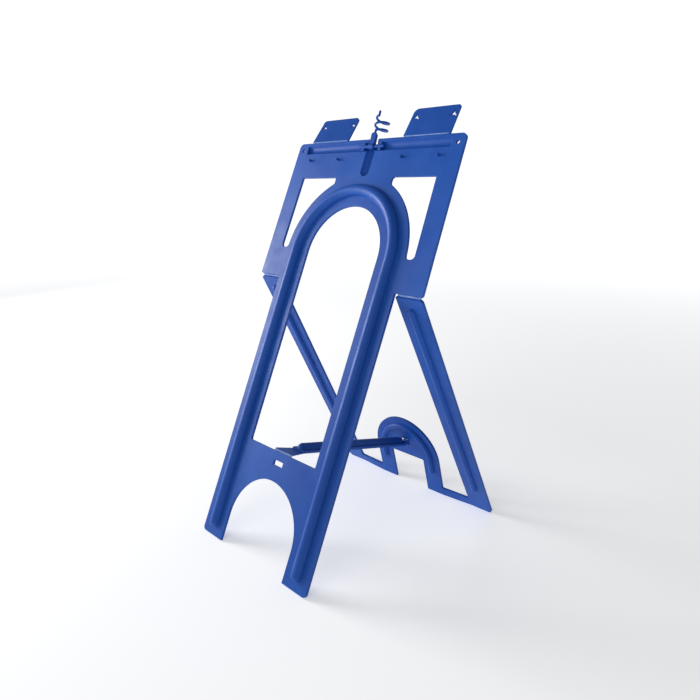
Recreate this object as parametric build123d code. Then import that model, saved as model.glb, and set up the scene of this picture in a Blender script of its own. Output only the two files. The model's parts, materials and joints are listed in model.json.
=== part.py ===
from build123d import *
import os
from math import atan2, cos, degrees, radians, sin, sqrt

os.makedirs("parts", exist_ok=True)

# ------------------------------------------------------------------
# Folding A-frame stand, moulded flat in one sheet and opened for use.
# World frame: +X to the right of someone facing the front panel, +Y back,
# +Z up, origin on the floor at the middle of the front feet.
# "Flat" frame, in which every segment is drawn: u (X) across the panel,
# v (Y) up the panel from the front feet, w (Z) out of the front face.
# ------------------------------------------------------------------

# driving dimensions, mm and degrees
SHEET = 6.0               # moulded sheet thickness
LEAN = 23.2               # front panel from vertical
OPEN = 51.2               # rear frame from the flat state to the open state
ARCH_SPRING = 12.7        # how far the rear arch is pressed back by the strut

PANEL_H = 1000.0          # front panel, feet to top edge
HEAD_HALF_TOP = 260.0
HEAD_HALF_LOW = 266.5
SHOULDER_V = 652.0        # lower edge of the head's two shoulders
LEG_OUT = 192.0           # outer half width of the front legs and arch
LEG_IN = 116.0            # inner half width of the front legs and arch
ARCH_V = 722.0            # centre of the front arch
CROSS_V = 250.0           # upper edge of the cross panel
CUT_V = 68.0              # centre of the cut-out between the feet
WINDOW_TOP = 908.0
WINDOW_LOW = 726.0
WINDOW_IN = 90.0
WINDOW_OUT_TOP = 213.0
WINDOW_OUT_LOW = 217.5
HEAD_SPLIT_V = 896.0      # where the head plate is parted from arch and rails
RAIL_SPLIT_U = 110.0      # where the arch is parted from the rails
FOOT_SPLIT_U = 104.0      # where the cross panel is parted from the legs

RIB_WIDTH = 28.0          # half-round stiffening rib on the front legs and arch
RIB_HEIGHT = 14.0
RIB_U = (LEG_OUT + LEG_IN) / 2
RIB_LOW_V = 34.0
WALL = 3.6                # wall left beside a rib's hollow back
REAR_RIB_WIDTH = 17.0
REAR_RIB_HEIGHT = 8.5
REAR_WALL = 2.2

HINGE_V = 650.0           # rear living hinge
HINGE_W = -5.5
REAR_TOP_V = 648.0
REAR_IN = 195.0
REAR_OUT_TOP = 265.5
REAR_OUT_LOW = 260.0
REAR_RIB_TOP_V = 614.5
REAR_RIB_LOW_H = 82.0     # above the rear foot line
BAR_HEIGHT = 25.0         # foot bars between rear legs and rear arch

ARCH_R = 109.6            # rear arch, outside
ARCH_IN = 57.0
ARCH_CENTRE_H = 106.5     # above the foot line, as the next four
ARCH_PIVOT_H = 34.8       # line about which the arch is sprung back
WEB_LOW_H = 100.5
ARCH_RIB_END_H = 74.0
SLOT_H = 143.0            # strut slot in the web
SLOT_SIZE = (30.0, 17.0)

BRACE_V = 252.0           # strut hinge, just above the cross panel
BRACE_W = -6.5
TAB_WIDTHS = (61.0, 40.0)
TAB_LENGTH = 44.0
TAB_ROOT = 1.2            # hinge line to the tab's edge
TAB_THICK = 2.6
BAR_RIB_R = 13.0          # half-round rib along the strut
TIP_GAP = 18.0            # open pivot: bar end to web face
HOOK_WIDTH = 24.0

FLAP_HINGE_V = 1001.6
FLAP_HINGE_W = 0.45
FLAP_IN = 87.0
FLAP_OUT = 216.0
FLAP_HEIGHT = 70.0
FLAP_THICK = 3.6
FLAP_ROOT = 1.1
FLAP_TILT_R = 9.0         # how far each flap has sprung back
FLAP_TILT_L = 15.0
PEG_V = 953.0
PEG_US = (101.5, 203.0)
PEG_R = 3.0
PEG_H = 8.0
EYE_R = 4.2               # middle of the three-way slit over each peg
SLIT_REACH = 10.5
SLIT_WIDTH = 2.6

WEB = 1.0                 # living hinge thickness

GROOVE_V = 981.5          # rod groove across the head
GROOVE_HALF = 226.0
GROOVE_R = 11.5
GROOVE_C = 4.0            # groove axis in front of the face
TROUGH_R = 15.0           # upright trough that the hook folds into
TROUGH_C = 5.0
TROUGH_LOW_V = 924.0
NOTCH_HALF = 14.0
NOTCH_DEPTH = 8.5
CORNER_HOLE_R = 4.75
CORNER_HOLE = (242.3, 981.0)
PANEL_SLOT = (0.0, 225.0, 32.0, 12.0)

AXLE_R = 4.0
AXLE_HALF = 38.0
STEM_WIDTH = 15.0
STEM_THICK = 7.0
HUB_R = 7.2               # round foot of the stem, turning in the trough
STEM_TOP_V = 1014.0
HOOK_TILT = 4.5           # hook leans this far out of the panel
COIL_R = 15.5
COIL_PITCH = 17.0
COIL_TURNS = 2.0
COIL_V = 1021.0
WIRE_R = 2.7

FAR = 2000.0


# ------------------------------------------------------------------
# placing: flat frame to world
# ------------------------------------------------------------------
def turn_about(v, w, angle):
    """Rotation by angle degrees about the lateral line through (v, w)."""
    return Pos(0, v, w) * Rot(angle, 0, 0) * Pos(0, -v, -w)


def turned(v, w, angle):
    """Where a point (v, w) goes under a rotation about the origin line."""
    c, s = cos(radians(angle)), sin(radians(angle))
    return v * c - w * s, v * s + w * c


lean = radians(LEAN)
rear_lean = radians(OPEN - LEAN)
lift = SHEET * sin(lean)
hinge_z = HINGE_V * cos(lean) + HINGE_W * sin(lean)
REAR_LEN = (hinge_z + HINGE_W * sin(rear_lean) + lift) / cos(rear_lean)
REAR_LOW_V = HINGE_V - REAR_LEN

PANEL = Pos(0, 0, lift) * Rot(90 - LEAN, 0, 0)
REAR = PANEL * turn_about(HINGE_V, HINGE_W, OPEN)
ARCH_PIVOT_V = REAR_LOW_V + ARCH_PIVOT_H
ARCH_TURN = turn_about(ARCH_PIVOT_V, 0, -ARCH_SPRING)

# strut: aim its front face at the middle of the web's slot
dv, dw = turned(SLOT_H - ARCH_PIVOT_H, 0, -ARCH_SPRING)
sv, sw = turned(ARCH_PIVOT_V + dv - HINGE_V, dw - HINGE_W, OPEN)
reach_v = HINGE_V + sv - BRACE_V
reach_w = HINGE_W + sw - BRACE_W
BRACE_LEN = sqrt(reach_v ** 2 + reach_w ** 2 - BRACE_W ** 2)
BRACE_TURN = degrees(atan2(reach_w, reach_v) - atan2(-BRACE_W, BRACE_LEN))
BRACE = PANEL * turn_about(BRACE_V, BRACE_W, BRACE_TURN)
FLAP_R = PANEL * turn_about(FLAP_HINGE_V, FLAP_HINGE_W, -FLAP_TILT_R)
FLAP_L = PANEL * turn_about(FLAP_HINGE_V, FLAP_HINGE_W, -FLAP_TILT_L)
HOOK = PANEL * turn_about(GROOVE_V, 0, HOOK_TILT)


# ------------------------------------------------------------------
# flat drawing helpers
# ------------------------------------------------------------------
def box2(u0, u1, v0, v1):
    """Rectangle between two corners."""
    return Pos((u0 + u1) / 2, (v0 + v1) / 2) * Rectangle(abs(u1 - u0), abs(v1 - v0))


def box3(u0, u1, v0, v1, w0, w1):
    """Box between two corners."""
    middle = Pos((u0 + u1) / 2, (v0 + v1) / 2, (w0 + w1) / 2)
    return middle * Box(abs(u1 - u0), abs(v1 - v0), abs(w1 - w0))


def poly(*points):
    return Polygon(*points, align=None)


def rounded(shape, radius, *near):
    """Round the corners of a 2-D shape that lie nearest to the given points."""
    corners = [shape.vertices().sort_by_distance((u, v, 0))[0] for u, v in near]
    return fillet(corners, radius)


def sheet(face, front=0.0, thick=SHEET):
    """A 2-D shape as a plate whose front face is at w = front."""
    return extrude(Pos(0, 0, front - thick) * face, thick, dir=(0, 0, 1))


def side_sheet(u0, u1, *points):
    """A profile given as (v, w) points, as wide as from u0 to u1."""
    side = Plane(origin=(u0, 0, 0), x_dir=(0, 1, 0), z_dir=(1, 0, 0))
    return extrude(side * poly(*points), u1 - u0, dir=(1, 0, 0))


def mirrored(shape):
    return mirror(shape, about=Plane.YZ)


def rib_circle(width, height):
    """Radius and centre depth of a shallow rib's circular section."""
    radius = (height ** 2 + (width / 2) ** 2) / (2 * height)
    return radius, height - radius


def rod_v(radius, u, v0, v1, w):
    """Round bar along v."""
    return Pos(u, (v0 + v1) / 2, w) * Rot(90, 0, 0) * Cylinder(radius, v1 - v0)


def rod_u(radius, u0, u1, v, w):
    """Round bar along u."""
    return Pos((u0 + u1) / 2, v, w) * Rot(0, 90, 0) * Cylinder(radius, u1 - u0)


def round_bar(radius, u, w, v_low, v_high, round_top):
    """Rod along v with a ball end at the bottom, and at the top if asked."""
    half = box2(0, radius, v_low, v_high) + Pos(0, v_low) * Circle(radius)
    if round_top:
        half += Pos(0, v_high) * Circle(radius)
    half &= box2(0, radius, v_low - radius, v_high + radius)
    return Pos(u, 0, w) * revolve(half, Axis.Y)


def half_ring(major, minor, v_mid, w):
    """Upper half of a torus that lies in the sheet's plane."""
    ring = Pos(0, v_mid, w) * Torus(major, minor)
    return ring & box3(-FAR, FAR, v_mid, v_mid + FAR, -FAR, FAR)


def with_rib(plate, bar, hollow, back=-1.0):
    """Raise a rib on a plate's front and hollow it from the back, which the hollow has to reach."""
    proud = bar & box3(-FAR, FAR, -FAR, FAR, back, FAR)
    return plate + proud - hollow


def save(name, *solids):
    """One STEP file per node, as a labelled compound of its solids."""
    shape = Compound(label=name, children=list(solids)) if len(solids) > 1 else solids[0]
    shape.label = name
    export_step(shape, f"parts/{name}.step")
    print(f"{name:20s} {sum(s.volume for s in solids) / 1000:9.2f} cm3")


# ------------------------------------------------------------------
# front panel
# ------------------------------------------------------------------
def window():
    """Right-hand sign window, outside the arch band."""
    hole = poly((WINDOW_IN, WINDOW_TOP), (WINDOW_OUT_TOP, WINDOW_TOP),
                (WINDOW_OUT_LOW, WINDOW_LOW), (WINDOW_IN, WINDOW_LOW))
    hole -= Pos(0, ARCH_V) * Circle(LEG_OUT)
    low_u = sqrt(LEG_OUT ** 2 - (WINDOW_LOW - ARCH_V) ** 2)
    hole = rounded(hole, 10, (low_u, WINDOW_LOW), (WINDOW_OUT_LOW, WINDOW_LOW))
    arc_v = ARCH_V + sqrt(LEG_OUT ** 2 - WINDOW_IN ** 2)
    hole = rounded(hole, 7, (WINDOW_IN, WINDOW_TOP), (WINDOW_IN, arc_v))
    return hole


def front_outline():
    """The front panel as one flat shape."""
    half = poly((0, 0), (LEG_OUT, 0), (LEG_OUT, SHOULDER_V), (HEAD_HALF_LOW, SHOULDER_V),
                (HEAD_HALF_TOP, PANEL_H), (0, PANEL_H))
    half = rounded(half, 9, (LEG_OUT, 0))
    half = rounded(half, 5, (HEAD_HALF_LOW, SHOULDER_V))
    half = rounded(half, 12, (HEAD_HALF_TOP, PANEL_H))
    outline = half + mirrored(half)
    opening = box2(-LEG_IN, LEG_IN, CROSS_V, ARCH_V) + Pos(0, ARCH_V) * Circle(LEG_IN)
    opening = rounded(opening, 5, (LEG_IN, CROSS_V), (-LEG_IN, CROSS_V))
    cut = box2(-LEG_IN, LEG_IN, -10, CUT_V) + Pos(0, CUT_V) * Circle(LEG_IN)
    outline -= opening
    outline -= cut
    for hole in (window(), mirrored(window())):
        outline -= hole
    u, v, width, height = PANEL_SLOT
    outline -= Pos(u, v) * Rectangle(width, height)
    return outline


def front_leg(outline):
    """Right front leg, foot included, with its half-round rib."""
    region = box2(LEG_IN - 1, LEG_OUT, -1, SHOULDER_V) + box2(FOOT_SPLIT_U, LEG_OUT, -1, CROSS_V)
    radius, depth = rib_circle(RIB_WIDTH, RIB_HEIGHT)
    plate = sheet(outline & region)
    bar = round_bar(radius, RIB_U, depth, RIB_LOW_V, SHOULDER_V, False)
    hollow = round_bar(radius - WALL, RIB_U, depth - SHEET / 2, RIB_LOW_V, SHOULDER_V, False)
    return with_rib(plate, bar, hollow)


def arch_band(outline):
    """Front arch band, from the shoulders up to the head plate."""
    region = Pos(0, ARCH_V) * Circle(LEG_OUT) + box2(-RAIL_SPLIT_U, RAIL_SPLIT_U, ARCH_V, HEAD_SPLIT_V)
    region &= box2(-LEG_OUT, LEG_OUT, ARCH_V, HEAD_SPLIT_V)
    region += box2(-LEG_OUT, LEG_OUT, SHOULDER_V, ARCH_V)
    radius, depth = rib_circle(RIB_WIDTH, RIB_HEIGHT)
    tools = []
    for size, w in ((radius, depth), (radius - WALL, depth - SHEET / 2)):
        bar = half_ring(RIB_U, size, ARCH_V, w)
        for side in (-1, 1):
            bar += rod_v(size, side * RIB_U, SHOULDER_V, ARCH_V, w)
        tools.append(bar)
    return with_rib(sheet(outline & region), *tools)


def side_rail(outline):
    """Right shoulder and the strip outside the window."""
    region = box2(RAIL_SPLIT_U, FAR, SHOULDER_V - 1, HEAD_SPLIT_V)
    region -= box2(-FAR, LEG_OUT, 0, ARCH_V)
    region -= Pos(0, ARCH_V) * Circle(LEG_OUT)
    return sheet(outline & region)


def head_plate(outline):
    """Head plate with rod groove, hook trough, notch and corner holes."""
    plate = sheet(outline & box2(-FAR, FAR, HEAD_SPLIT_V, FAR))
    groove_back = rod_u(GROOVE_R + WALL, -GROOVE_HALF - WALL, GROOVE_HALF + WALL, GROOVE_V, GROOVE_C)
    trough_back = rod_v(TROUGH_R + WALL, 0, TROUGH_LOW_V, PANEL_H, TROUGH_C)
    trough_back += Pos(0, TROUGH_LOW_V, TROUGH_C) * Sphere(TROUGH_R + WALL)
    behind = box3(-FAR, FAR, HEAD_SPLIT_V, PANEL_H, -FAR, -1)
    plate += groove_back & behind
    plate += trough_back & behind
    plate -= rod_u(GROOVE_R, -GROOVE_HALF, GROOVE_HALF, GROOVE_V, GROOVE_C)
    plate -= rod_v(TROUGH_R, 0, TROUGH_LOW_V, FAR, TROUGH_C)
    plate -= Pos(0, TROUGH_LOW_V, TROUGH_C) * Sphere(TROUGH_R)
    plate -= box3(-NOTCH_HALF, NOTCH_HALF, PANEL_H - NOTCH_DEPTH, PANEL_H + 1, -FAR, FAR)
    for side in (-1, 1):
        hole = Pos(side * CORNER_HOLE[0], CORNER_HOLE[1], 0) * Cylinder(CORNER_HOLE_R, 3 * SHEET)
        plate -= hole
    return plate


def cross_panel(outline):
    return sheet(outline & box2(-FOOT_SPLIT_U, FOOT_SPLIT_U, CUT_V, CROSS_V))


def peg(u):
    """Snap peg with a bevelled end."""
    stem = Pos(u, PEG_V, PEG_H / 2) * Cylinder(PEG_R, PEG_H)
    return chamfer(stem.edges().sort_by(Axis.Z)[-1], 1.0)


def axle_clip(u):
    """Half ring in the groove that the hook's axle snaps into."""
    block = box3(u - 4, u + 4, GROOVE_V - 10, GROOVE_V + 10, -7.4, 2.2)
    block &= rod_u(GROOVE_R, u - 4, u + 4, GROOVE_V, GROOVE_C)
    block -= rod_u(AXLE_R + 0.06, u - 5, u + 5, GROOVE_V, 0)
    return block


# ------------------------------------------------------------------
# rear frame
# ------------------------------------------------------------------
def rear_leg():
    """Right rear leg, rib included."""
    face = poly((REAR_IN, REAR_TOP_V), (REAR_OUT_TOP, REAR_TOP_V),
                (REAR_OUT_LOW, REAR_LOW_V), (REAR_IN, REAR_LOW_V))
    face = rounded(face, 7, (REAR_OUT_TOP, REAR_TOP_V))
    face = rounded(face, 11, (REAR_OUT_LOW, REAR_LOW_V))
    u = (REAR_IN + (REAR_OUT_TOP + REAR_OUT_LOW) / 2) / 2
    radius, depth = rib_circle(REAR_RIB_WIDTH, REAR_RIB_HEIGHT)
    low, high = REAR_LOW_V + REAR_RIB_LOW_H, REAR_RIB_TOP_V
    bar = round_bar(radius, u, depth, low, high, True)
    hollow = round_bar(radius - REAR_WALL, u, depth - SHEET / 2, low, high, True)
    return with_rib(sheet(face), bar, hollow)


def foot_height(angle):
    """Where a sheet turned by angle about the arch's pivot has to be cut to stand on the floor."""
    return ARCH_PIVOT_H * (1 - cos(rear_lean) / cos(rear_lean + radians(angle)))


def foot_bar():
    """Right foot bar, twisted from the rear leg's lean to the arch's."""
    def end(u, angle):
        foot = foot_height(angle)
        points = [(foot, 0), (BAR_HEIGHT, 0), (BAR_HEIGHT, -SHEET), (foot, -SHEET)]
        spun = [turned(v - ARCH_PIVOT_H, w, angle) for v, w in points]
        ring = [(u, ARCH_PIVOT_V + v, w) for v, w in spun]
        return make_face(Polyline(*ring, close=True))
    steps = 4
    faces = []
    for i in range(steps + 1):
        u = REAR_IN + (ARCH_R - REAR_IN) * i / steps
        faces.append(end(u, -ARCH_SPRING * i / steps))
    return loft(faces, ruled=True)


def rear_arch():
    """Rear arch rail with its rib, before it is sprung back."""
    centre = REAR_LOW_V + ARCH_CENTRE_H
    foot = REAR_LOW_V + foot_height(-ARCH_SPRING)
    outer = Pos(0, centre) * Circle(ARCH_R) + box2(-ARCH_R, ARCH_R, REAR_LOW_V, centre)
    outer -= box2(-FAR, FAR, -FAR, foot)
    inner = Pos(0, centre) * Circle(ARCH_IN) + box2(-ARCH_IN, ARCH_IN, REAR_LOW_V - 1, centre)
    radius, depth = rib_circle(REAR_RIB_WIDTH, REAR_RIB_HEIGHT)
    middle = (ARCH_R + ARCH_IN) / 2
    low = REAR_LOW_V + ARCH_RIB_END_H
    tools = []
    for size, w in ((radius, depth), (radius - REAR_WALL, depth - SHEET / 2)):
        bar = half_ring(middle, size, centre, w)
        for side in (-1, 1):
            bar += round_bar(size, side * middle, w, low, centre, False)
        tools.append(bar)
    return with_rib(sheet(outer - inner), *tools)


def arch_web():
    """Half-disc that closes the top of the rear arch, with the strut's slot."""
    centre = REAR_LOW_V + ARCH_CENTRE_H
    disc = Pos(0, centre) * Circle(ARCH_IN)
    low = REAR_LOW_V + WEB_LOW_H
    disc = disc + box2(-ARCH_IN, ARCH_IN, low, centre)
    disc &= box2(-ARCH_IN, ARCH_IN, low, FAR)
    disc -= Pos(0, REAR_LOW_V + SLOT_H) * RectangleRounded(*SLOT_SIZE, 3)
    return sheet(disc)


# ------------------------------------------------------------------
# strut, flaps, hook
# ------------------------------------------------------------------
def brace_tab():
    """Thin tapered tab between the strut's hinge and its bar."""
    a, b = TAB_WIDTHS[0] / 2, TAB_WIDTHS[1] / 2
    low, high = BRACE_V + TAB_ROOT, BRACE_V + TAB_LENGTH
    face = poly((-a, low), (a, low), (b, high), (-b, high))
    return sheet(face, -SHEET + TAB_THICK, TAB_THICK)


def brace_bar():
    """Strut bar: a strip of sheet with a half-round rib along it, hollow beneath."""
    half = TAB_WIDTHS[1] / 2
    low, high = BRACE_V + TAB_LENGTH, BRACE_V + BRACE_LEN - TIP_GAP
    ends = low + BAR_RIB_R, high - BAR_RIB_R
    bar = round_bar(BAR_RIB_R, 0, 0, *ends, True)
    hollow = round_bar(BAR_RIB_R - REAR_WALL, 0, -SHEET / 2, *ends, True)
    return with_rib(sheet(box2(-half, half, low, high)), bar, hollow)


def brace_hook():
    """Springy tongue at the strut's end that snaps into the web's slot."""
    low = BRACE_V + BRACE_LEN - TIP_GAP
    face, past = low + TIP_GAP, low + TIP_GAP + SHEET
    return side_sheet(-HOOK_WIDTH / 2, HOOK_WIDTH / 2, (low, -5.5), (low, 4.5), (face - 3, 4.0),
                      (face - 3, 1.4), (past + 1.2, 1.4), (past + 1.2, 4.2), (past + 5, 1.8),
                      (past + 5, -3.4), (face, -3.4))


def slit_eye(u, v, height):
    """Round eye with three slits, cut through a flap."""
    tool = Pos(u, v) * Circle(EYE_R)
    for angle in (90, 210, 330):
        tool += Pos(u, v) * Rot(0, 0, angle) * Pos(SLIT_REACH / 2, 0) * Rectangle(SLIT_REACH, SLIT_WIDTH)
    return extrude(Pos(0, 0, -height) * tool, 2 * height)


def flap():
    """Right-hand flap, standing up from its hinge in the flat frame."""
    low, high = FLAP_HINGE_V + FLAP_ROOT, FLAP_HINGE_V + FLAP_HEIGHT
    face = poly((FLAP_IN, low), (FLAP_OUT, low), (FLAP_OUT - 1, high), (FLAP_IN + 3, high))
    face = rounded(face, 12, (FLAP_IN + 3, high))
    face = rounded(face, 7, (FLAP_OUT - 1, high))
    plate = sheet(face, 0.0, FLAP_THICK)
    for u in PEG_US:
        plate -= slit_eye(u, 2 * FLAP_HINGE_V - PEG_V, 20)
    return plate


def hook_stem():
    """Flat stem of the pigtail hook, from its round hub to the wire."""
    half = STEM_WIDTH / 2
    face = poly((-half, GROOVE_V), (half, GROOVE_V), (half, STEM_TOP_V - 6),
                (WIRE_R, STEM_TOP_V), (-WIRE_R, STEM_TOP_V), (-half, STEM_TOP_V - 2))
    return sheet(face, STEM_THICK / 2, STEM_THICK) + rod_u(HUB_R, -half, half, GROOVE_V, 0)


def axle_stub(side):
    """One side of the hook's cross axle."""
    near, far = sorted((side * STEM_WIDTH / 2, side * AXLE_HALF))
    return rod_u(AXLE_R, near, far, GROOVE_V, 0)


def hook_coil():
    """Wire of the pigtail: riser, two turns and a short tip."""
    height = COIL_PITCH * COIL_TURNS
    riser = rod_v(WIRE_R, 0, STEM_TOP_V, COIL_V, 0)
    path = Helix(pitch=COIL_PITCH, height=height, radius=COIL_R)
    start = path @ 0
    profile = Plane(origin=start, z_dir=path % 0) * Circle(WIRE_R)
    coil = sweep(profile, path=path, is_frenet=True)
    spin = degrees(atan2(start.Y, start.X))
    placed = Pos(0, COIL_V, -COIL_R) * Rot(-90, 0, 0) * Rot(0, 0, -90 - spin) * coil
    tip = rod_v(WIRE_R, 0, COIL_V + height, COIL_V + height + 9, 0)
    joints = [Pos(0, v, 0) * Sphere(WIRE_R) for v in (COIL_V, COIL_V + height, COIL_V + height + 9)]
    wire = riser + placed + tip
    for ball in joints:
        wire += ball
    return wire


def hinge_web(u0, u1, hinge, edges, angle):
    """Thin web from a fixed edge to a moving one, as it lies when the part is open.

    edges are (fixed v, moving v, front w), the last the web's front before it bends.
    """
    (v, w), (fixed, moving, front) = hinge, edges
    ring = [(fixed, front), (fixed, front - WEB)]
    for depth in (front - WEB, front):
        a, b = turned(moving - v, depth - w, angle)
        ring.append((v + a, w + b))
    return side_sheet(u0, u1, *ring)


# ------------------------------------------------------------------
# nodes, placed as the stand is used
# ------------------------------------------------------------------
outline = front_outline()
leg, rail = front_leg(outline), side_rail(outline)
back_leg, bar = rear_leg(), foot_bar()
rear_web = hinge_web(REAR_IN + 3, REAR_OUT_TOP - 4, (HINGE_V, HINGE_W),
                     (SHOULDER_V, REAR_TOP_V, WEB - SHEET), OPEN)
tab_low = BRACE_V + TAB_ROOT
brace_web = hinge_web(-TAB_WIDTHS[0] / 2, TAB_WIDTHS[0] / 2, (BRACE_V, BRACE_W),
                      (CROSS_V, tab_low, WEB - SHEET), BRACE_TURN)
flap_edges = (PANEL_H, FLAP_HINGE_V + FLAP_ROOT, 0.0)
flap_hinge = (FLAP_HINGE_V, FLAP_HINGE_W)
web_right = hinge_web(FLAP_IN + 4, FLAP_OUT - 4, flap_hinge, flap_edges, -FLAP_TILT_R)
web_left = hinge_web(4 - FLAP_OUT, -FLAP_IN - 4, flap_hinge, flap_edges, -FLAP_TILT_L)

nodes = {
    "head_plate": [PANEL * head_plate(outline)],
    "arch_band": [PANEL * arch_band(outline)],
    "front_leg_right": [PANEL * leg],
    "front_leg_left": [PANEL * mirrored(leg)],
    "side_rail_right": [PANEL * rail],
    "side_rail_left": [PANEL * mirrored(rail)],
    "cross_panel": [PANEL * cross_panel(outline)],
    "snap_pegs": [PANEL * peg(side * u) for side in (-1, 1) for u in PEG_US],
    "axle_clips": [PANEL * axle_clip(u) for u in (-26, 26)],
    "rear_hinge_webs": [PANEL * rear_web, PANEL * mirrored(rear_web)],
    "brace_hinge_web": [PANEL * brace_web],
    "flap_web_right": [PANEL * web_right],
    "flap_web_left": [PANEL * web_left],
    "rear_leg_right": [REAR * back_leg],
    "rear_leg_left": [REAR * mirrored(back_leg)],
    "foot_bar_right": [REAR * bar],
    "foot_bar_left": [REAR * mirrored(bar)],
    "rear_arch": [REAR * ARCH_TURN * rear_arch()],
    "arch_web": [REAR * ARCH_TURN * arch_web()],
    "brace_tab": [BRACE * brace_tab()],
    "brace_bar": [BRACE * brace_bar()],
    "brace_hook": [BRACE * brace_hook()],
    "flap_right": [FLAP_R * flap()],
    "flap_left": [FLAP_L * mirrored(flap())],
    "hook_stem": [HOOK * hook_stem()],
    "hook_axle": [HOOK * axle_stub(-1), HOOK * axle_stub(1)],
    "hook_coil": [HOOK * hook_coil()],
}

# origin at the middle of the whole footprint, on the floor
extents = [solid.bounding_box() for solids in nodes.values() for solid in solids]
front, back = min(e.min.Y for e in extents), max(e.max.Y for e in extents)
centre = Pos(0, -(front + back) / 2, -min(e.min.Z for e in extents))
for name, solids in nodes.items():
    save(name, *[centre * solid for solid in solids])

for name, v, w in (("rear_fold", HINGE_V, HINGE_W), ("brace_fold", BRACE_V, BRACE_W),
                   ("flaps", FLAP_HINGE_V, FLAP_HINGE_W), ("hook_fold", GROOVE_V, 0),
                   ("corner hole", CORNER_HOLE[1], -SHEET / 2), ("plate face", 222, 0)):
    point = (centre * PANEL * Pos(0, v, w)).position
    print(f"{name}: y {point.Y:.4f} z {point.Z:.4f}")
print(f"rear low v {REAR_LOW_V:.2f}, strut length {BRACE_LEN:.2f}, strut turn {BRACE_TURN:.2f}")
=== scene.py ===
"""Looks of the folding A-frame stand: a satin blue plastic moulding with living hinges and a pigtail hook."""
import json
import math

import bmesh
import bpy
from mathutils import Euler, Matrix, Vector


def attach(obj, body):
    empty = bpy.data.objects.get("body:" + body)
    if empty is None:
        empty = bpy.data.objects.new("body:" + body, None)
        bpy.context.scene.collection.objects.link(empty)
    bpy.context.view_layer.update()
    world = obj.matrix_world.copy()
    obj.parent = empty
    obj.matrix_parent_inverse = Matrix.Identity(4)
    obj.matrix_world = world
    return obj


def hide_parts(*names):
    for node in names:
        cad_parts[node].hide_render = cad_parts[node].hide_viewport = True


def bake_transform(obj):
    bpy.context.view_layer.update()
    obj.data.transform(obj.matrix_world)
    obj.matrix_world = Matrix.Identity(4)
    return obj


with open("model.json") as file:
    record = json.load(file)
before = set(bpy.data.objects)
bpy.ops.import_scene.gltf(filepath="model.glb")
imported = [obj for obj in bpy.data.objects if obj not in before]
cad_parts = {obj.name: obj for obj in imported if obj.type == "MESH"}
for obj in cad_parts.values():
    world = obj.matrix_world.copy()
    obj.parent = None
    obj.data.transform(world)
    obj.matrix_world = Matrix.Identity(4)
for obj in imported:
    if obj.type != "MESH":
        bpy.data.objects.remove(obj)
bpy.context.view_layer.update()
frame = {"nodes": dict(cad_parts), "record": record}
bpy.context.scene.view_settings.view_transform = "Standard"

MM = 0.001
BLUE = (0.014, 0.094, 0.430)
# Deeper blue: random tone in the mouldings, and painted shade where it is the hook's main colour.
BLUE_DEEP_AND_SHADE = (0.009, 0.068, 0.345)
# Pale blue of scuffs and worn edges; on the edges it is also a painted highlight.
SCUFF_AND_EDGE_HIGHLIGHT = (0.08, 0.17, 0.50)
# Pale blue of the living hinges: partly stress whitening, partly a painted highlight of the hinge grooves.
STRESS_AND_HIGHLIGHT = (0.30, 0.42, 0.72)
PLASTIC_IOR = 1.49
PLASTIC_SHEEN = 0.22           # specular level of satin polypropylene
CREASE = 25                    # degrees between faces that stay a crisp edge
HINGE_CUTS = 8                 # strips that a living hinge is cut into
FLOOR_HALF = 30.0              # metres
CAMERA_PLACE = (1.0486, -0.9932, 0.8137)
CAMERA_DOWN = 14.56            # degrees below the horizon
CAMERA_TURN = 45.78            # degrees from the +Y axis, towards -X
CAMERA_LENS = 32.2             # mm, on a 36 mm sensor
MIX_FACTOR, MIX_FIRST, MIX_SECOND, MIX_RESULT = 0, 6, 7, 2     # colour sockets of the mix node


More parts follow.
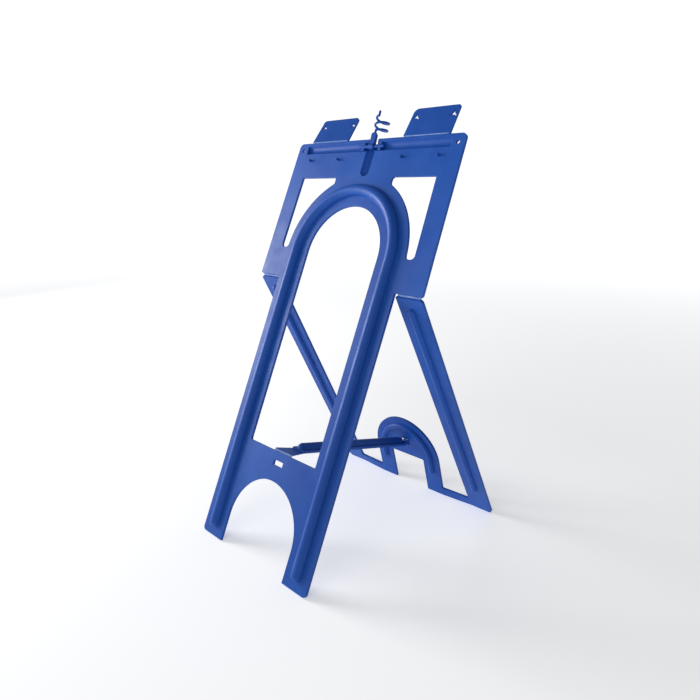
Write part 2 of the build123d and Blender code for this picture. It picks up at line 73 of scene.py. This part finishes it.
# ------------------------------------------------------------------
# materials
# ------------------------------------------------------------------
class Shader:
    """A small helper that adds and links nodes of one material."""

    def __init__(self, name):
        self.material = bpy.data.materials.new(name)
        self.material.use_nodes = True
        self.tree = self.material.node_tree
        self.surface = self.tree.nodes["Principled BSDF"]
        self.place = self.add("ShaderNodeTexCoord").outputs["Object"]

    def add(self, kind, **inputs):
        node = self.tree.nodes.new(kind)
        for name, value in inputs.items():
            node.inputs[name.replace("_", " ")].default_value = value
        return node

    def link(self, source, target):
        self.tree.links.new(source, target)

    def noise(self, scale, detail=3.0, stretch=(1, 1, 1)):
        """Noise at so many cells a metre, with another density along each axis."""
        mapping = self.add("ShaderNodeMapping", Scale=stretch)
        self.link(self.place, mapping.inputs["Vector"])
        node = self.add("ShaderNodeTexNoise", Scale=scale, Detail=detail)
        self.link(mapping.outputs["Vector"], node.inputs["Vector"])
        return node.outputs["Fac"]

    def span(self, source, low, high, to_low=0.0, to_high=1.0):
        """Maps a value's range low..high to to_low..to_high."""
        node = self.tree.nodes.new("ShaderNodeMapRange")
        values = {"From Min": low, "From Max": high, "To Min": to_low, "To Max": to_high}
        for name, value in values.items():
            node.inputs[name].default_value = value
        self.link(source, node.inputs["Value"])
        return node.outputs["Result"]

    def mix(self, factor, first, second):
        """Colour mix by factor; first and second are colours or sockets."""
        node = self.tree.nodes.new("ShaderNodeMix")
        node.data_type = "RGBA"
        for value, socket in ((first, MIX_FIRST), (second, MIX_SECOND)):
            if isinstance(value, tuple):
                node.inputs[socket].default_value = (*value, 1)
            else:
                self.link(value, node.inputs[socket])
        self.link(factor, node.inputs[MIX_FACTOR])
        return node.outputs[MIX_RESULT]

    def math(self, operation, first, second):
        node = self.tree.nodes.new("ShaderNodeMath")
        node.operation = operation
        for value, slot in ((first, 0), (second, 1)):
            if isinstance(value, (int, float)):
                node.inputs[slot].default_value = value
            else:
                self.link(value, node.inputs[slot])
        return node.outputs[0]

    def edges(self, radius):
        """Rounded normals, and a mask that is 1 on the object's edges."""
        bevel = self.add("ShaderNodeBevel", Radius=radius)
        bevel.samples = 6
        flat = self.add("ShaderNodeNewGeometry").outputs["Normal"]
        dot = self.tree.nodes.new("ShaderNodeVectorMath")
        dot.operation = "DOT_PRODUCT"
        self.link(bevel.outputs["Normal"], dot.inputs[0])
        self.link(flat, dot.inputs[1])
        return bevel.outputs["Normal"], self.span(dot.outputs["Value"], 0.995, 0.80)

    def bump(self, height, distance, strength, normal=None):
        """Surface relief so many metres high, on top of other relief if given."""
        node = self.add("ShaderNodeBump", Strength=strength, Distance=distance)
        self.link(height, node.inputs["Height"])
        if normal is not None:
            self.link(normal, node.inputs["Normal"])
        return node.outputs["Normal"]

    def plastic(self, colour, roughness, normal):
        """Fills in the surface and returns the material."""
        self.link(colour, self.surface.inputs["Base Color"])
        self.link(roughness, self.surface.inputs["Roughness"])
        self.link(normal, self.surface.inputs["Normal"])
        self.surface.inputs["IOR"].default_value = PLASTIC_IOR
        self.surface.inputs["Specular IOR Level"].default_value = PLASTIC_SHEEN
        return self.material


def moulded_plastic(name, light, deep, scuff_and_edge_highlight, roughness=(0.36, 0.50), edge=0.9 * MM, edge_wear_and_highlight=0.55):
    """Satin injection-moulded polypropylene: flow shade, fine grain, scuffs, and pale edges that are partly
    wear and partly a painted highlight.
    """
    s = Shader(name)
    flow = s.span(s.noise(5.0, 3.0, (1, 1, 0.35)), 0.34, 0.66)
    cloud = s.span(s.noise(38.0, 4.0), 0.38, 0.66, 0.0, 0.35)
    colour = s.mix(flow, light, deep)
    colour = s.mix(cloud, colour, deep)
    scratches = s.span(s.noise(60.0, 2.0, (14, 14, 0.8)), 0.66, 0.72)
    patches = s.span(s.noise(9.0, 2.0), 0.50, 0.64)
    scratches = s.math("MULTIPLY", scratches, patches)
    colour = s.mix(s.math("MULTIPLY", scratches, 0.16), colour, scuff_and_edge_highlight)
    # Pale edges all round, broken by noise: partly edge wear, partly a painted highlight along every edge.
    rounded, mask = s.edges(edge)
    broken = s.span(s.noise(70.0, 3.0), 0.38, 0.62, 0.25, 1.0)
    worn_and_highlit_edges = s.math("MULTIPLY", s.math("MULTIPLY", mask, broken), edge_wear_and_highlight)
    colour = s.mix(worn_and_highlit_edges, colour, scuff_and_edge_highlight)
    gloss = s.span(s.noise(22.0, 4.0), 0.32, 0.68, *roughness)
    gloss = s.math("ADD", gloss, s.math("MULTIPLY", scratches, 0.12))
    peel = s.bump(s.noise(260.0, 2.0), 0.12 * MM, 0.35, rounded)
    grain = s.bump(s.noise(1500.0, 2.0), 0.04 * MM, 0.45, peel)
    return s.plastic(colour, gloss, grain)


def stressed_and_highlit_plastic(name):
    """The same plastic where it is bent thin: whitened in fine lines along the fold, partly stress whitening
    and partly a painted highlight of the hinge groove.
    """
    s = Shader(name)
    lines = s.span(s.noise(90.0, 4.0, (0.5, 9, 9)), 0.30, 0.62)
    specks = s.span(s.noise(420.0, 3.0), 0.40, 0.62, 0.0, 0.5)
    colour = s.mix(lines, STRESS_AND_HIGHLIGHT, SCUFF_AND_EDGE_HIGHLIGHT)
    colour = s.mix(specks, colour, STRESS_AND_HIGHLIGHT)
    return s.plastic(colour, s.span(lines, 0, 1, 0.42, 0.58), s.bump(lines, 0.15 * MM, 0.5))


PLASTIC = moulded_plastic("moulded_blue", BLUE, BLUE_DEEP_AND_SHADE, SCUFF_AND_EDGE_HIGHLIGHT)
# The hook is the same plastic drawn darker: painted shade over its whole surface.
HOOK_SHADED_PLASTIC = moulded_plastic("hook_painted_shade_blue", BLUE_DEEP_AND_SHADE, BLUE, SCUFF_AND_EDGE_HIGHLIGHT, (0.28, 0.42), 0.6 * MM, 0.4)
WHITENED_AND_HIGHLIT = stressed_and_highlit_plastic("stress_whitened_and_highlight")


def paint(piece, material):
    """Gives a piece one material and no other."""
    piece.data.materials.clear()
    piece.data.materials.append(material)


# ------------------------------------------------------------------
# pieces
# ------------------------------------------------------------------
def smooth(data):
    """Shading from the mesh's own shape: round faces smooth, creases crisp."""
    for name in ("custom_normal", "sharp_edge", "sharp_face"):
        if name in data.attributes:
            data.attributes.remove(data.attributes[name])
    data.shade_smooth()
    data.set_sharp_from_angle(angle=math.radians(CREASE))


def mesh_data(name, mesh):
    """Turns a bmesh into mesh data and frees it."""
    data = bpy.data.meshes.new(name)
    mesh.to_mesh(data)
    mesh.free()
    return data


def placed(name, data):
    """A new object in the scene."""
    piece = bpy.data.objects.new(name, data)
    bpy.context.scene.collection.objects.link(piece)
    return piece


def welded(node):
    """A copy of a CAD node's mesh as a bmesh, its split vertices joined."""
    mesh = bmesh.new()
    mesh.from_mesh(frame["nodes"][node].data)
    bmesh.ops.remove_doubles(mesh, verts=mesh.verts, dist=0.002 * MM)
    return mesh


def union(parts, name):
    """One mesh around all of the parts, which are used up."""
    first, others = parts[0], bpy.data.collections.new(name + "_segments")
    for part in parts[1:]:
        others.objects.link(part)
    modifier = first.modifiers.new("union", "BOOLEAN")
    modifier.operand_type = "COLLECTION"
    modifier.collection = others
    modifier.operation = "UNION"
    modifier.solver = "EXACT"
    modifier.use_self = True
    bpy.context.view_layer.update()
    data = bpy.data.meshes.new_from_object(first.evaluated_get(bpy.context.evaluated_depsgraph_get()))
    for part in parts:
        bpy.data.objects.remove(part)
    bpy.data.collections.remove(others)
    return data


def seamless(name, body, nodes, material):
    """Several segments of one moulding joined into one skin, without the walls where they touch."""
    parts = [placed(node + "_segment", mesh_data(node + "_segment", welded(node))) for node in nodes]
    whole = bmesh.new()
    whole.from_mesh(union(parts, name))
    bmesh.ops.remove_doubles(whole, verts=whole.verts, dist=0.01 * MM)
    bmesh.ops.dissolve_degenerate(whole, edges=whole.edges, dist=0.002 * MM)
    piece = placed(name, mesh_data(name, whole))
    smooth(piece.data)
    paint(piece, material)
    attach(piece, body)
    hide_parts(*nodes)


def joint_place(name):
    """A point on a joint's axis, in the stand's middle plane."""
    joints = frame["record"]["behaviour"]["joints"]
    place = next(joint["pos_m"] for joint in joints if joint["name"] == name)
    return Vector((0, place[1], place[2]))


def body_middle(body):
    """A rough middle of a body, from two vertices of each of its nodes."""
    nodes = frame["record"]["behaviour"]["bodies"][body]
    points = [frame["nodes"][node].data.vertices[i].co for node in nodes for i in (0, -1)]
    return sum(points, Vector()) / len(points)


def living_hinge(node, moving, joint):
    """A node's thin web cut into strips along its fold, shown in place of the node."""
    mesh = welded(node)
    ys, zs = ([vertex.co[axis] for vertex in mesh.verts] for axis in (1, 2))
    pivot = joint_place(joint)
    moved = body_middle(moving) - body_middle("front_panel")
    across = Vector((0, moved.y, moved.z)).normalized()
    corners = [Vector((0, y, z)) for y in (min(ys), max(ys)) for z in (min(zs), max(zs))]
    reach = [(corner - pivot).dot(across) for corner in corners]
    start, end = pivot + across * min(reach), pivot + across * max(reach)
    for step in range(1, HINGE_CUTS):
        cut = start.lerp(end, step / HINGE_CUTS)
        geometry = list(mesh.verts) + list(mesh.edges) + list(mesh.faces)
        bmesh.ops.bisect_plane(mesh, geom=geometry, dist=1e-7, plane_co=cut, plane_no=across)
    piece = placed(node + "_strip", mesh_data(node + "_strip", mesh))
    smooth(piece.data)
    paint(piece, WHITENED_AND_HIGHLIT)
    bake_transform(piece)
    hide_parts(node)


seamless(
    "front_moulding", "front_panel",
    ["head_plate", "arch_band", "front_leg_right", "front_leg_left",
     "side_rail_right", "side_rail_left", "cross_panel"],
    PLASTIC)
seamless(
    "rear_moulding", "rear_frame",
    ["rear_leg_right", "rear_leg_left", "foot_bar_right", "foot_bar_left", "rear_arch", "arch_web"],
    PLASTIC)
for node in ("snap_pegs", "axle_clips", "brace_tab", "brace_bar", "brace_hook", "flap_right", "flap_left"):
    paint(frame["nodes"][node], PLASTIC)
for node in ("hook_stem", "hook_axle", "hook_coil"):
    paint(frame["nodes"][node], HOOK_SHADED_PLASTIC)
for node, moving, joint in (("rear_hinge_webs", "rear_frame", "rear_fold"),
                            ("brace_hinge_web", "strut", "brace_fold"),
                            ("flap_web_right", "flap_r", "flap_right_fold"),
                            ("flap_web_left", "flap_l", "flap_left_fold")):
    living_hinge(node, moving, joint)


# ------------------------------------------------------------------
# stage, light, camera
# ------------------------------------------------------------------
def floor():
    """Pale floor that glows more with distance, so that it fades into the white."""
    data = bpy.data.meshes.new("studio_floor")
    corners = [(x * FLOOR_HALF, y * FLOOR_HALF, 0) for x, y in ((-1, -1), (1, -1), (1, 1), (-1, 1))]
    data.from_pydata(corners, [], [(0, 1, 2, 3)])
    piece = placed("studio_floor", data)
    s = Shader("studio_white")
    s.link(s.mix(s.noise(0.6, 2.0), (0.90, 0.90, 0.90), (0.93, 0.93, 0.93)), s.surface.inputs["Base Color"])
    s.surface.inputs["Roughness"].default_value = 0.9
    s.surface.inputs["Specular IOR Level"].default_value = 0.1
    s.surface.inputs["Emission Color"].default_value = (1, 1, 1, 1)
    distance = s.tree.nodes.new("ShaderNodeVectorMath")
    distance.operation = "LENGTH"
    s.link(s.place, distance.inputs[0])
    s.link(s.span(distance.outputs["Value"], 1.0, 6.0, 0.40, 0.86), s.surface.inputs["Emission Strength"])
    piece.data.materials.append(s.material)


def softbox(name, place, target, size, power):
    """Rectangular area light of so many watts, aimed at target."""
    data = bpy.data.lights.new(name, "AREA")
    data.shape = "RECTANGLE"
    data.size, data.size_y = size
    data.energy = power
    lamp = placed(name, data)
    lamp.location = place
    lamp.rotation_euler = (Vector(target) - Vector(place)).to_track_quat("-Z", "Y").to_euler()


def studio():
    """Pale room: white to the camera, and dimmer as a light source."""
    world = bpy.data.worlds.new("studio")
    bpy.context.scene.world = world
    world.use_nodes = True
    nodes, links = world.node_tree.nodes, world.node_tree.links
    shown = nodes["Background"]
    shown.inputs["Color"].default_value = (1, 1, 1, 1)
    shown.inputs["Strength"].default_value = 1.05
    fill = nodes.new("ShaderNodeBackground")
    fill.inputs["Color"].default_value = (0.93, 0.95, 1.0, 1)
    fill.inputs["Strength"].default_value = 0.26
    path = nodes.new("ShaderNodeLightPath")
    mix = nodes.new("ShaderNodeMixShader")
    links.new(path.outputs["Is Camera Ray"], mix.inputs["Fac"])
    links.new(fill.outputs["Background"], mix.inputs[1])
    links.new(shown.outputs["Background"], mix.inputs[2])
    links.new(mix.outputs["Shader"], nodes["World Output"].inputs["Surface"])


floor()
studio()
softbox("key", (-3.3, -1.3, 1.3), (0, -0.1, 0.5), (1.6, 1.6), 118)
softbox("front_fill", (0.9, -3.4, 1.8), (0, 0, 0.5), (2.4, 1.8), 22)

camera_data = bpy.data.cameras.new("camera")
camera_data.sensor_width = 36
camera_data.lens = CAMERA_LENS
camera_data.clip_start = 0.05
camera_data.clip_end = 120
camera = placed("camera", camera_data)
camera.location = CAMERA_PLACE
camera.rotation_euler = Euler((math.radians(90 - CAMERA_DOWN), 0, math.radians(CAMERA_TURN)))
bpy.context.scene.camera = camera
